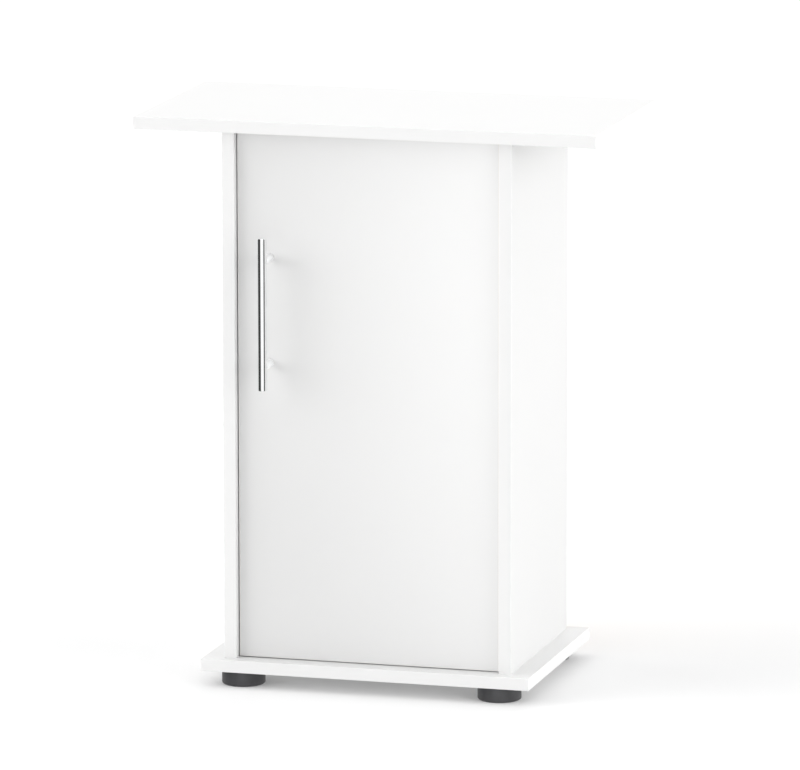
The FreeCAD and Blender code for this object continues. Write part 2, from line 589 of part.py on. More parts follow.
def build():
    """Every piece by name. Each hole is cut with the piece that fills it or with a wider bore."""
    pieces = {}
    cams, bolts, dowels, base_screws, bores = joinery()

    top_core, top_bands = lying_board(TOP_WIDTH / 2, TOP_DEPTH / 2, TOP_Z)
    pieces["top_panel"] = top_core.cut([horizontal_groove(TOP_Z, TOP_Z + GROOVE_DEPTH)] + bolts + bores)
    pieces["top_edge_bands"] = top_bands

    feet_screws = []
    for side, side_name in ((-1, "left"), (1, "right")):
        for end, end_name in ((-1, "front"), (1, "rear")):
            foot, driven = foot_and_screw(side, end)
            pieces["foot_%s_%s" % (end_name, side_name)] = foot
            feet_screws.append(driven)
    pieces["foot_screws"] = feet_screws

    base_core, base_bands = lying_board(BASE_WIDTH / 2, TOP_DEPTH / 2, BASE_Z)
    base_groove = horizontal_groove(BODY_Z - GROOVE_DEPTH, BODY_Z)
    pieces["base_panel"] = base_core.cut([base_groove] + base_screws + feet_screws + bores)
    pieces["base_edge_bands"] = base_bands

    plate_screws = []
    clamp_screws = []
    cup_screws = []
    cups = []
    for name, level in HINGE_LEVELS.items():
        driven = arm_screws(level)
        plate, screws = mounting_plate(level)
        pieces["hinge_arm_" + name] = hinge_arm(level).cut(driven)
        pieces["hinge_plate_" + name] = plate.cut(driven + screws)
        clamp_screws += driven
        plate_screws += screws
        cup, screws, pin = hinge_cup(level)
        pieces["hinge_cup_" + name] = cup
        pieces["hinge_pin_" + name] = pin
        cup_screws += screws
        cups.append(rod(CUP_DIAMETER + 2 * CUP_PLAY, CUP_DEPTH,
                        V(CUP_X, DOOR_REAR - CUP_DEPTH, level), REARWARD))
    pieces["hinge_plate_screws"] = plate_screws
    pieces["hinge_arm_screws"] = clamp_screws
    pieces["hinge_cup_screws"] = cup_screws

    housing, magnet, catch_screws, strike, strike_screw = magnetic_catch()
    pieces["catch_housing"] = housing
    pieces["catch_magnet"] = magnet
    pieces["catch_screws"] = catch_screws
    pieces["strike_plate"] = strike
    pieces["strike_screw"] = strike_screw

    pin_holes = shelf_pin_holes()
    panel_tools = base_screws + bores + pin_holes + plate_screws + catch_screws
    for side, name in ((-1, "left"), (1, "right")):
        board, band = side_panel(side, panel_tools)
        pieces[name + "_side_panel"] = board
        pieces[name + "_side_edge_band"] = band
    pieces["back_panel"] = back_panel()
    pieces["shelf"], pieces["shelf_edge_band"] = shelf()
    pieces["shelf_pins"] = shelf_pins()
    pieces["cam_locks"] = cams
    pieces["cam_bolts"] = bolts
    pieces["dowels"] = dowels
    pieces["base_screws"] = base_screws

    bar, posts, handle_screws = handle()
    pieces["handle_bar"] = bar
    for name, post in posts.items():
        pieces["handle_post_" + name] = post
    pieces["handle_screws"] = handle_screws
    door_core, door_bands = standing_door()
    pieces["door_panel"] = door_core.cut(cups + cup_screws + handle_screws + [strike_screw])
    pieces["door_edge_bands"] = door_bands
    return pieces


def save(pieces):
    """Write each piece, or group of like pieces, to its own STEP file."""
    os.makedirs("parts", exist_ok=True)
    for name, shape in pieces.items():
        whole = Part.makeCompound(shape) if isinstance(shape, list) else shape
        whole.translated(OUTLINE_SHIFT).exportStep("parts/%s.step" % name)


save(build())
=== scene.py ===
import math

import bmesh
import bpy
import numpy as np
from bpy.props import FloatProperty, FloatVectorProperty, IntProperty, PointerProperty
from mathutils import Matrix, Vector


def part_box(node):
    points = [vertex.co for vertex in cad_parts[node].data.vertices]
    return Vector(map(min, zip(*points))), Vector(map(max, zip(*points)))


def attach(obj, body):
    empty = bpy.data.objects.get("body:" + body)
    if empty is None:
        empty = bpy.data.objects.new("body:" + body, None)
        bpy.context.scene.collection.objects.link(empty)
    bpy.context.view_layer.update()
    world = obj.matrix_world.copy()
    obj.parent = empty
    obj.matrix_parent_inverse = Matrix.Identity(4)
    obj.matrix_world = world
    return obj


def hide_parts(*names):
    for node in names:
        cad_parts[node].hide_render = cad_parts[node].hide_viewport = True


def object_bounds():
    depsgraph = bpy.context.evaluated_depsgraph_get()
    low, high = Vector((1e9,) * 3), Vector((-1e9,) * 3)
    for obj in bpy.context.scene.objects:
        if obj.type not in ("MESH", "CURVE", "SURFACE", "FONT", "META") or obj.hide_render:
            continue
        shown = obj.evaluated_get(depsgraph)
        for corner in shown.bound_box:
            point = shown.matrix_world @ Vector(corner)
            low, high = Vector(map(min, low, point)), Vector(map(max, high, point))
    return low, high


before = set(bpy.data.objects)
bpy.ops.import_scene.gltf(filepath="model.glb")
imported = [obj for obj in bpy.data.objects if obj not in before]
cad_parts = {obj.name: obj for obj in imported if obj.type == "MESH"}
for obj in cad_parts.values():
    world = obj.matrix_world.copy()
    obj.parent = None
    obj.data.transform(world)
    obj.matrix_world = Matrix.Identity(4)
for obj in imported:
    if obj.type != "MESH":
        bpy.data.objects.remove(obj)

bl_info = {
    "name": "Aquarium Stand Cabinet Dresser",
    "version": (1, 0, 0),
    "blender": (4, 5, 0),
    "location": "3D Viewport > Sidebar > Cabinet",
    "description": "Dresses a white aquarium stand cabinet: boards, edging, handle, feet, "
                   "fittings, studio",
    "category": "Object",
}

CAD_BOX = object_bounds()
MM = 0.001
CABINET = "cabinet"
DOOR = "door"
MERGE_DISTANCE = 1e-6   # points closer than this are one
SLIVER = 1e-7           # an edge shorter than this is taken out
CREASE = 35.0           # degrees: an edge that turns by more than this stays sharp
FLAT = 0.5              # degrees: faces that turn by less than this lie in one plane


# --- Sizes and colours that a user would change ------------------------------------------------

class BoardSettings(bpy.types.PropertyGroup):
    """Finish of the melamine-faced boards and their edging."""
    face_colour: FloatVectorProperty(
        name="Face colour", description="Colour of the melamine facing", subtype="COLOR",
        size=3, default=(0.77, 0.77, 0.767), min=0, max=1)
    # The tape's white is its own, but its paleness over the facing is painted light: it makes the
    # taped edges come out brighter than the faces beside them.
    edging_colour_with_painted_light: FloatVectorProperty(
        name="Edging colour", description="Colour of the edging tape", subtype="COLOR",
        size=3, default=(0.88, 0.88, 0.877), min=0, max=1)
    core_colour: FloatVectorProperty(
        name="Core colour", description="Middle colour of the raw particle board", subtype="COLOR",
        size=3, default=(0.50, 0.36, 0.22), min=0, max=1)
    pearl: FloatProperty(
        name="Pearl size",
        description="Distance between the bumps of the facing's fine pearl texture",
        subtype="DISTANCE", unit="LENGTH", default=0.9 * MM, min=0.1 * MM, max=10 * MM)
    chip: FloatProperty(
        name="Chip size", description="Length of a chip in the raw core",
        subtype="DISTANCE", unit="LENGTH", default=1.6 * MM, min=0.2 * MM, max=10 * MM)
    gloss: FloatProperty(
        name="Roughness", description="Mean roughness of the facing", default=0.42, min=0, max=1)


class FittingSettings(bpy.types.PropertyGroup):
    """Finish of the handle, the metal fittings and the feet."""
    chrome_colour: FloatVectorProperty(
        name="Chrome colour", description="Colour of the handle's plating", subtype="COLOR",
        size=3, default=(0.95, 0.955, 0.96), min=0, max=1)
    nickel_colour: FloatVectorProperty(
        name="Nickel colour", description="Colour of the hinges' plating", subtype="COLOR",
        size=3, default=(0.66, 0.65, 0.62), min=0, max=1)
    zinc_colour: FloatVectorProperty(
        name="Zinc colour", description="Colour of the screws' plating", subtype="COLOR",
        size=3, default=(0.62, 0.63, 0.65), min=0, max=1)
    foot_colour: FloatVectorProperty(
        name="Foot colour", description="Colour of the moulded feet", subtype="COLOR",
        size=3, default=(0.052, 0.052, 0.055), min=0, max=1)
    round_steps: IntProperty(
        name="Steps round", description="Faces round each turned piece",
        default=96, min=24, max=256)


class StageSettings(bpy.types.PropertyGroup):
    """Floor, lights and camera."""
    floor_colour: FloatVectorProperty(
        name="Floor colour", description="Colour of the studio floor", subtype="COLOR",
        size=3, default=(0.80, 0.80, 0.80), min=0, max=1)
    floor_glow: FloatProperty(
        name="Floor glow", description="Light that comes up through the translucent floor",
        default=0.140, min=0, max=2)
    surround: FloatProperty(
        name="Surround", description="Brightness of the studio's soft lights together",
        default=1.02, min=0, max=10)
    overhead: FloatProperty(
        name="Overhead shine",
        description="How much brighter than the walls the space overhead is to what shines",
        default=0.95, min=0, max=10)
    pool_lamp: FloatProperty(
        name="Pool lamp", description="Power of the lamp whose pool ends part way across the door",
        unit="POWER", default=112.0, min=0)
    azimuth: FloatProperty(
        name="Azimuth", description="Camera's bearing, to the right of the door's front",
        subtype="ANGLE", unit="ROTATION", default=math.radians(15.85))
    elevation: FloatProperty(
        name="Elevation", description="Camera's height over the horizon, as an angle",
        subtype="ANGLE", unit="ROTATION", default=math.radians(10.84))
    roll: FloatProperty(
        name="Roll", description="Turn of the camera about its own axis",
        subtype="ANGLE", unit="ROTATION", default=math.radians(-0.08))
    distance: FloatProperty(
        name="Distance", description="Camera to the point it looks at",
        subtype="DISTANCE", unit="LENGTH", default=10.105, min=0.5)
    lens: FloatProperty(
        name="Lens", description="Focal length on a 36 mm sensor, in millimetres",
        default=354.2, min=10, max=1000)


# --- Surfaces ----------------------------------------------------------------------------------

class Shell:
    """Points and faces of one piece, gathered from grids of points."""

    def __init__(self):
        self.points = []
        self.quads = []
        self.count = 0

    def grid(self, points, around=False):
        """Adds quads over points shaped (rows, columns, 3). Around joins the last column to the
        first."""
        rows, columns = points.shape[:2]
        index = np.arange(rows * columns).reshape(rows, columns) + self.count
        beside = np.roll(index, -1, axis=1)
        if not around:
            index, beside = index[:, :-1], beside[:, :-1]
        quads = np.stack([index[:-1], beside[:-1], beside[1:], index[1:]], axis=-1)
        self.points.append(points.reshape(-1, 3))
        self.quads.append(quads.reshape(-1, 4))
        self.count += rows * columns

    def mesh(self, name, crease=CREASE):
        """The piece's object: doubles merged, faces outwards, smooth up to the crease angle."""
        mesh = bpy.data.meshes.new(name)
        mesh.from_pydata(np.concatenate(self.points).tolist(), [],
                         np.concatenate(self.quads).tolist())
        work = bmesh.new()
        work.from_mesh(mesh)
        bmesh.ops.remove_doubles(work, verts=work.verts, dist=MERGE_DISTANCE)
        bmesh.ops.dissolve_degenerate(work, edges=work.edges, dist=SLIVER)
        bmesh.ops.recalc_face_normals(work, faces=work.faces)
        work.to_mesh(mesh)
        work.free()
        mesh.polygons.foreach_set("use_smooth", np.ones(len(mesh.polygons), bool))
        mesh.set_sharp_from_angle(angle=math.radians(crease))
        piece = bpy.data.objects.new(name, mesh)
        bpy.context.scene.collection.objects.link(piece)
        return piece


def across(axis):
    """Two unit vectors that make a right-handed set with an axis: they span the plane across it."""
    axis = np.asarray(axis, float)
    nearly_upright = abs(axis[2]) >= 0.9
    first = np.cross([1.0, 0.0, 0.0] if nearly_upright else [0.0, 0.0, 1.0], axis)
    first /= np.linalg.norm(first)
    return first, np.cross(axis, first)


def circle_angles(steps):
    """Equal angles round a full turn, the last one short of the first."""
    return np.linspace(0, 2 * math.pi, steps, endpoint=False)


def turned(profile, foot, axis, steps):
    """Points of a turned surface: foot + axis * h + (first * cos a + second * sin a) * r,
    with (r, h) from the profile along the rows and the angle a along the columns."""
    profile = np.asarray(profile, float)
    first, second = across(axis)
    angle = circle_angles(steps)
    ring = np.outer(np.cos(angle), first) + np.outer(np.sin(angle), second)
    radius, height = profile[:, 0], profile[:, 1]
    along = height[:, None, None] * np.asarray(axis, float)
    return np.asarray(foot, float) + along + radius[:, None, None] * ring[None]


def softened(corners, radius, steps=4):
    """A profile whose inner corners are each replaced by a short curve: the quadratic curve
    (1-t)^2 a + 2 t (1-t) c + t^2 b from the point a before corner c to the point b after it. Both
    lie a radius from the corner, or less where a side is short."""
    most_of_side = 0.45
    corners = np.asarray(corners, float)
    points = [corners[:1]]
    t = np.linspace(0, 1, steps + 1)[:, None]
    for before, corner, after in zip(corners, corners[1:], corners[2:]):
        start, end = (corner + (other - corner) / np.linalg.norm(other - corner)
                      * min(radius, np.linalg.norm(other - corner) * most_of_side)
                      for other in (before, after))
        points.append((1 - t) ** 2 * start + 2 * t * (1 - t) * corner + t ** 2 * end)
    points.append(corners[-1:])
    return np.concatenate(points)


def smooth_step(value):
    """0 below 0, 1 above 1, and 3 v^2 - 2 v^3 between."""
    value = np.clip(value, 0, 1)
    return value * value * (3 - 2 * value)


# What all the screws have in common
RECESS_REACH = 2.3 * MM
RECESS_WIDTH = 1.0 * MM
RECESS_DEPTH = 1.3 * MM
FACE_RINGS = 30         # rings of points from the middle of the face to its rim
FACE_SHARE = 0.97       # radius of the face over the rim's
CROWN_SHARE = 0.45      # height of the crowned face over the head's
RIM_ROUND = 0.25 * MM
THREAD_PITCH = 1.2 * MM
THREAD_SPAN = (0.06, 0.9)               # where the thread starts and ends along the shank
THREAD_RINGS = 61
THREAD_MEAN, THREAD_SWING = 0.91, 0.09  # the thread's radius over the core's
TIP_START, TIP_RADIUS = 0.97, 0.55      # along the shank, and over the core's radius
SCREW_STEPS = 48                        # faces round a screw


def cross_recess(x, y):
    """Depth of a cross-shaped driver recess at (x, y): full within half its width of either arm,
    shallower towards the arms' ends, none past their reach."""
    soft_wall, soft_end, shallowing = 0.18 * RECESS_WIDTH, 0.15 * RECESS_REACH, 0.55
    arm = np.minimum(np.abs(x), np.abs(y))
    wall = smooth_step((RECESS_WIDTH / 2 - arm) / soft_wall + 0.5)
    distance = np.hypot(x, y)
    end = smooth_step((RECESS_REACH - distance) / soft_end + 0.5)
    return RECESS_DEPTH * wall * end * (1 - shallowing * distance / RECESS_REACH)


def screw_face(shell, centre, axis, rim, crown):
    """Adds a screw's outer face: height over the rim's plane is crown * (1 - (r / rim)^2) minus the
    recess at that point, with the radius r along the rows and the angle along the columns."""
    first, second = across(axis)
    radius = np.linspace(0, 1, FACE_RINGS) * rim
    angle = circle_angles(SCREW_STEPS)
    x = np.outer(radius, np.cos(angle))
    y = np.outer(radius, np.sin(angle))
    height = crown * (1 - (radius[:, None] / rim) ** 2) - cross_recess(x, y)
    points = (np.asarray(centre, float) + height[..., None] * np.asarray(axis, float)
              + x[..., None] * first + y[..., None] * second)
    shell.grid(points[::-1], around=True)


# --- Shader maths ------------------------------------------------------------------------------

def four(colour):
    """A colour of three numbers with its alpha; a wire stays as it is."""
    if isinstance(colour, Wire):
        return colour
    return (*colour[:3], 1.0)


class Wire:
    """What leaves a node's socket. Arithmetic on values adds Math nodes to the finish."""

    def __init__(self, finish, socket):
        self.finish = finish
        self.socket = socket

    def maths(self, operation, *values):
        """A Math node on these values."""
        return self.finish.node("ShaderNodeMath", dict(enumerate(values)), operation=operation)

    def __add__(self, other):
        return self.maths("ADD", self, other)

    def __sub__(self, other):
        return self.maths("SUBTRACT", self, other)

    def __rsub__(self, other):
        return self.maths("SUBTRACT", other, self)

    def __mul__(self, other):
        return self.maths("MULTIPLY", self, other)

    def __truediv__(self, other):
        return self.maths("DIVIDE", self, other)

    def __gt__(self, other):
        return self.maths("GREATER_THAN", self, other)

    def __lt__(self, other):
        return self.maths("LESS_THAN", self, other)

    def __abs__(self):
        return self.maths("ABSOLUTE", self)

    __radd__ = __add__
    __rmul__ = __mul__


class Finish:
    """A material, or the surround, while its nodes are put together."""

    def __init__(self, owner):
        self.owner = owner
        owner.use_nodes = True
        self.tree = owner.node_tree
        self.tree.nodes.clear()

    def node(self, kind, sockets=None, out=0, stops=None, **settings):
        """Any node: its settings first, a ramp's stops, then its sockets' values or links."""
        node = self.tree.nodes.new(kind)
        for setting, value in settings.items():
            setattr(node, setting, value)
        if stops:
            ramp = node.color_ramp
            while len(ramp.elements) < len(stops):
                ramp.elements.new(1.0)
            for element, (position, colour) in zip(ramp.elements, stops):
                element.position = position
                element.color = four(colour)
        for socket, value in (sockets or {}).items():
            if isinstance(value, Wire):
                self.tree.links.new(value.socket, node.inputs[socket])
            else:
                node.inputs[socket].default_value = value
        return Wire(self, node.outputs[out]) if node.outputs else None

    def place(self):
        """The point being shaded, in metres."""
        return self.node("ShaderNodeTexCoord", out="Object")

    def part(self, vector, axis):
        """One of a vector's three parts."""
        return self.node("ShaderNodeSeparateXYZ", {0: vector}, out=axis)

    def facing(self, axis):
        """1 where the surface faces along an axis of the piece, either way, and 0 elsewhere."""
        return abs(self.part(self.node("ShaderNodeTexCoord", out="Normal"), axis)) > 0.5

    def stretched(self, point, scale):
        """The point scaled by a different number along each axis."""
        return self.node("ShaderNodeVectorMath", {0: point, 1: scale}, operation="MULTIPLY")

    def noise(self, point, size, detail=2.0, roughness=0.5):
        """Soft noise from 0 to 1 whose lumps are about one size apart."""
        return self.node("ShaderNodeTexNoise", {"Vector": point, "Scale": 1 / size,
                                                "Detail": detail, "Roughness": roughness})

    def cells(self, point, size, out="Distance", **settings):
        """Cells about one size across: the distance to a cell's middle, or its random colour."""
        return self.node("ShaderNodeTexVoronoi", {"Vector": point, "Scale": 1 / size}, out=out,
                         **settings)

    def ramp(self, value, *stops):
        """A value turned into a colour by stops of (position, colour)."""
        return self.node("ShaderNodeValToRGB", {0: value}, stops=stops)

    def blend(self, share, first, second):
        """The first colour where the share is 0, the second where it is 1."""
        return self.node("ShaderNodeMix", {0: share, 6: four(first), 7: four(second)}, out=2,
                         data_type="RGBA")

    def span(self, value, low, high):
        """The value's place between low and high, held to 0 and 1."""
        return self.node("ShaderNodeMapRange", {0: value, 1: low, 2: high}, clamp=True)

    def bump(self, height, depth):
        """A normal tilted by a height from 0 to 1 that stands for a real depth in metres."""
        return self.node("ShaderNodeBump",
                         {"Height": height, "Distance": depth, "Strength": 1.0})

    def surface(self, **sockets):
        """Ends the material in a Principled shader with these sockets."""
        sockets = {name.replace("_", " "): value for name, value in sockets.items()}
        sockets["Base Color"] = four(sockets["Base Color"])
        shader = self.node("ShaderNodeBsdfPrincipled", sockets)
        self.node("ShaderNodeOutputMaterial", {"Surface": shader})
        return self.owner


def tint(colour, share):
    """A colour made darker or lighter by a share."""
    return tuple(min(part * share, 1.0) for part in colour[:3])


# --- Finishes ----------------------------------------------------------------------------------

GLUE_LINE = 0.22 * MM       # width of the line between facing and tape
GLUE_SHARE = 0.45           # how much of the core's colour shows in it
BOARD_DRIFT = 0.985         # darkest share of a board's or a tape's own colour
PEARL_DEPTH = 0.012 * MM    # depth of the facing's bumps
PIT_SHARE = 12.0            # depth of a cut edge's pits over that of the bumps
RAW_ROUGHNESS = 0.88        # roughness of a cut edge or a bore
SATIN_SPECULAR = 0.4        # specular level of melamine, tape and lacquer
SCREEN_PITCH = 1.3 * MM     # mesh of the press's screen
DEPTH_AXIS = 1              # from the front to the rear


def chip_core(finish, point, core, chip):
    """Raw particle board: pale and dark chips lying every way, and the pits between them."""
    flakes = finish.cells(finish.stretched(point, (1.0, 1.0, 1.7)), chip, out="Color")
    tone = finish.part(flakes, 0)
    colour = finish.ramp(tone, (0.0, tint(core, 0.55)), (0.45, tint(core, 1.0)),
                         (0.8, tint(core, 1.25)), (1.0, tint(core, 1.6)))
    pits = finish.noise(point, size=chip * 0.8, detail=4.0, roughness=0.65)
    return colour, pits


def board_finish(name, settings, axis, taped, low, high):
    """Melamine facing across one axis, raw core on every cut edge and bore, and the fine glue line
    where the tape meets the facing on the taped axes."""
    finish = Finish(bpy.data.materials.new(name))
    point = finish.place()
    faced = finish.facing(axis)
    glue = None
    for other in taped:
        along = finish.part(point, other)
        for edge in (along - low[other], high[other] - along):
            near = edge < GLUE_LINE
            glue = near if glue is None else glue + near
    drift = finish.noise(point, size=0.16, detail=3.0)
    face = finish.blend(drift, tint(settings.face_colour, BOARD_DRIFT), settings.face_colour)
    if glue:
        share = finish.span(glue, 0.0, 1.0) * GLUE_SHARE
        face = finish.blend(share, face, tint(settings.core_colour, 1.1))
    core, pits = chip_core(finish, point, settings.core_colour, settings.chip)
    pearl = finish.cells(point, settings.pearl, feature="SMOOTH_F1")
    fine = finish.noise(point, size=settings.pearl * 3.0, detail=2.0)
    height = faced * (pearl * 0.7 + fine * 0.3) + (1 - faced) * (pits * PIT_SHARE)
    rough = faced * (settings.gloss - 0.03 + fine * 0.06) + (1 - faced) * RAW_ROUGHNESS
    return finish.surface(Base_Color=finish.blend(faced, core, face), Roughness=rough,
                          Normal=finish.bump(height, PEARL_DEPTH),
                          Specular_IOR_Level=SATIN_SPECULAR)


def tape_finish(settings):
    """Edging tape: satin, with a faint long-drawn unevenness."""
    finish = Finish(bpy.data.materials.new("edging_tape"))
    point = finish.place()
    drawn = finish.noise(finish.stretched(point, (0.12, 0.12, 0.12)), size=0.5 * MM, detail=3.0)
    drift = finish.noise(point, size=0.12, detail=2.0)
    # The tape's paleness over the facing is painted light, which brightens the taped edges.
    colour = finish.blend(drift, tint(settings.edging_colour_with_painted_light, BOARD_DRIFT), settings.edging_colour_with_painted_light)
    return finish.surface(Base_Color=colour, Roughness=settings.gloss - 0.05 + drawn * 0.06,
                          Normal=finish.bump(drawn, depth=0.008 * MM),
                          Specular_IOR_Level=SATIN_SPECULAR)


def hardboard_finish(settings):
    """Thin hardboard: lacquered on its front, bare and printed by the press's screen at the rear.
    The screen's height is the sum of two sines, one across and one up the board."""
    finish = Finish(bpy.data.materials.new("lacquered_hardboard"))
    point = finish.place()
    normal = finish.part(finish.node("ShaderNodeTexCoord", out="Normal"), DEPTH_AXIS)
    front = normal < -0.5
    fibres = finish.noise(finish.stretched(point, (1.0, 1.0, 0.35)), size=1.6 * MM, detail=5.0,
                          roughness=0.7)
    drift = finish.noise(point, size=0.09, detail=3.0)
    bare = finish.ramp(fibres * 0.6 + drift * 0.4, (0.25, (0.30, 0.185, 0.095)),
                       (0.55, (0.40, 0.26, 0.145)), (0.8, (0.50, 0.345, 0.20)))
    white = finish.blend(drift, tint(settings.face_colour, 0.97), settings.face_colour)
    wires = []
    for axis in (0, 2):
        turns = finish.part(point, axis) * (2 * math.pi / SCREEN_PITCH)
        wires.append(finish.node("ShaderNodeMath", {0: turns}, operation="SINE"))
    screen = (wires[0] + wires[1]) * 0.25 + 0.5
    height = front * (fibres * 0.12) + (1 - front) * (screen * 0.8 + fibres * 0.5)
    return finish.surface(Base_Color=finish.blend(front, bare, white),
                          Roughness=front * 0.40 + (1 - front) * (0.68 + fibres * 0.1),
                          Normal=finish.bump(height, depth=0.05 * MM),
                          Specular_IOR_Level=SATIN_SPECULAR)


def moulded_finish(name, colour, gloss, depth):
    """Moulded plastic: spark-eroded grain of a depth and faint flow clouds."""
    finish = Finish(bpy.data.materials.new(name))
    point = finish.place()
    grain = finish.noise(point, size=0.45 * MM, detail=3.0, roughness=0.6)
    clouds = finish.noise(point, size=14 * MM, detail=3.0)
    base = finish.blend(finish.span(clouds, 0.3, 0.7), tint(colour, 0.88), tint(colour, 1.1))
    return finish.surface(Base_Color=base, Roughness=gloss - 0.06 + grain * 0.08 + clouds * 0.05,
                          Normal=finish.bump(grain, depth))


def plated_finish(name, colour, gloss, lines, depth, stretch=(1.0, 1.0, 1.0), metal=1.0):
    """Plated metal: faint polishing lines of a width and depth, and cloudy tarnish in the roughness
    and the tone. A pale satin lacquer over it is less of a metal."""
    finish = Finish(bpy.data.materials.new(name))
    point = finish.place()
    polish = finish.noise(finish.stretched(point, stretch), size=lines, detail=3.0, roughness=0.6)
    clouds = finish.noise(point, size=11 * MM, detail=4.0, roughness=0.6)
    base = finish.blend(finish.span(clouds, 0.35, 0.7), tint(colour, 0.95), colour)
    return finish.surface(Base_Color=base, Metallic=metal,
                          Roughness=gloss * 0.8 + clouds * (gloss * 0.3) + polish * (gloss * 0.1),
                          Normal=finish.bump(polish, depth))


def beech_finish():
    """Beech dowels: straight grain up the dowel with short darker rays."""
    finish = Finish(bpy.data.materials.new("beech_dowel"))
    point = finish.place()
    grain = finish.noise(finish.stretched(point, (1.0, 1.0, 0.08)), size=0.7 * MM, detail=4.0)
    rays = finish.cells(finish.stretched(point, (1.0, 1.0, 0.3)), size=0.9 * MM)
    tone = grain * 0.8 + rays * 0.3
    colour = finish.ramp(tone, (0.25, (0.42, 0.25, 0.13)), (0.6, (0.62, 0.42, 0.25)),
                         (0.85, (0.72, 0.53, 0.34)))
    return finish.surface(Base_Color=colour, Roughness=0.6 + grain * 0.15,
                          Normal=finish.bump(grain, depth=0.03 * MM))


def ferrite_finish():
    """Sintered magnet: dark, matt and finely pitted."""
    finish = Finish(bpy.data.materials.new("ferrite_magnet"))
    point = finish.place()
    pits = finish.noise(point, size=0.35 * MM, detail=5.0, roughness=0.7)
    colour = finish.ramp(pits, (0.3, (0.020, 0.020, 0.022)), (0.7, (0.060, 0.058, 0.056)))
    return finish.surface(Base_Color=colour, Roughness=0.5 + pits * 0.25,
                          Normal=finish.bump(pits, depth=0.03 * MM))


# --- Making and handing over pieces ------------------------------------------------------------

def dress(node, material):
    """Gives a carried-over solid its finish."""
    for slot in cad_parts[node].material_slots:
        slot.material = material


def hand_over(piece, body, node):
    """Gives a new piece to its body, in place of a solid, which it hides."""
    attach(piece, body)
    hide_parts(node)


def finished(shell, name, material, body, node, crease=CREASE):
    """Makes a new piece from a shell and hands it over in place of a solid."""
    piece = shell.mesh(name, crease)
    piece.data.materials.append(material)
    hand_over(piece, body, node)


def eased(node, material, body, radius=0.2 * MM):
    """A carried-over solid with its arrises eased: its loose triangles are joined, those that lie
    in one plane are merged, and each edge that stays sharp gets a two-step round."""
    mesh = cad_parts[node].data.copy()
    mesh.name = node + "_eased"
    mesh.materials.clear()
    mesh.materials.append(material)
    work = bmesh.new()
    work.from_mesh(mesh)
    bmesh.ops.remove_doubles(work, verts=work.verts, dist=MERGE_DISTANCE)
    bmesh.ops.dissolve_limit(work, angle_limit=math.radians(FLAT), verts=work.verts,
                             edges=work.edges)
    for face in work.faces:
        face.smooth = True
        face.material_index = 0
    for edge in work.edges:
        edge.smooth = edge.is_manifold and edge.calc_face_angle() < math.radians(CREASE)
    work.to_mesh(mesh)
    work.free()
    piece = bpy.data.objects.new(mesh.name, mesh)
    bpy.context.scene.collection.objects.link(piece)
    rounding = piece.modifiers.new("arris", "BEVEL")
    rounding.width = radius
    rounding.segments = 2
    rounding.angle_limit = math.radians(CREASE)
    rounding.harden_normals = True
    hand_over(piece, body, node)


def solids(node):
    """Lowest and highest corners of each separate solid in a node, in order of their middles."""
    work = bmesh.new()
    work.from_mesh(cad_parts[node].data)
    bmesh.ops.remove_doubles(work, verts=work.verts, dist=MERGE_DISTANCE)
    left = set(work.verts)
    boxes = []
    while left:
        waiting = [left.pop()]
        points = []
        while waiting:
            vertex = waiting.pop()
            points.append(tuple(vertex.co))
            for edge in vertex.link_edges:
                other = edge.other_vert(vertex)
                if other in left:
                    left.remove(other)
                    waiting.append(other)
        corners = np.array(points)
        boxes.append((corners.min(0), corners.max(0)))
    work.free()
    return sorted(boxes, key=lambda box: tuple(box[0] + box[1]))


def pan_screw(shell, box, axis, core, head_height):
    """A pan-head screw that fills a solid's box and is driven along an axis: a crowned head with
    its recess, a rolled rim, and a shank that ends in a tip. The shank's radius is core * (mean +
    swing * cos(2 pi h / pitch)) at the height h."""
    low, high = box
    axis = np.asarray(axis, float)
    middle = (low + high) / 2
    half = np.abs((high - low) / 2 @ axis)
    rim = ((high - low) * (1 - np.abs(axis))).max() / 2
    crown = head_height * CROWN_SHARE
    foot = middle - axis * half + axis * head_height
    length = 2 * half - head_height
    height = np.linspace(*THREAD_SPAN, THREAD_RINGS) * length
    swell = THREAD_MEAN + THREAD_SWING * np.cos(height / THREAD_PITCH * 2 * math.pi)
    rolled = softened([(rim * FACE_SHARE, crown - head_height), (rim, -crown), (rim, 0),
                       (core, 0)], RIM_ROUND)
    tip = [(core * TIP_RADIUS, length * TIP_START), (0, length)]
    profile = np.concatenate([rolled, np.stack([core * swell, height], axis=1), tip])
    shell.grid(turned(profile, foot, axis, SCREW_STEPS), around=True)
    screw_face(shell, foot - axis * (head_height - crown), -axis, rim * FACE_SHARE, crown)


# --- Pieces ------------------------------------------------------------------------------------

BOARDS = {
    # node: (thickness axis, taped axes)
    "top_panel": (2, (0, 1)), "base_panel": (2, (0, 1)), "shelf": (2, ()),
    "left_side_panel": (0, ()), "right_side_panel": (0, ()), "door_panel": (1, (0, 2)),
}


class CABINET_OT_boards(bpy.types.Operator):
    """Faces the top, base, shelf, sides and door in white melamine over a raw core"""
    bl_idname = "cabinet.boards"
    bl_label = "Melamine Boards"

    def execute(self, context):
        settings = context.scene.cabinet_boards
        for node, (axis, taped) in BOARDS.items():
            low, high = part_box(node)
            dress(node, board_finish(node + "_melamine", settings, axis, taped, low, high))
        return {"FINISHED"}


class CABINET_OT_edging(bpy.types.Operator):
    """Gives the edging tape on every visible edge its satin finish"""
    bl_idname = "cabinet.edging"
    bl_label = "Edging Tape"

    def execute(self, context):
        tape = tape_finish(context.scene.cabinet_boards)
        for node in ("top_edge_bands", "base_edge_bands", "left_side_edge_band",
                     "right_side_edge_band", "shelf_edge_band", "door_edge_bands"):
            dress(node, tape)
        return {"FINISHED"}


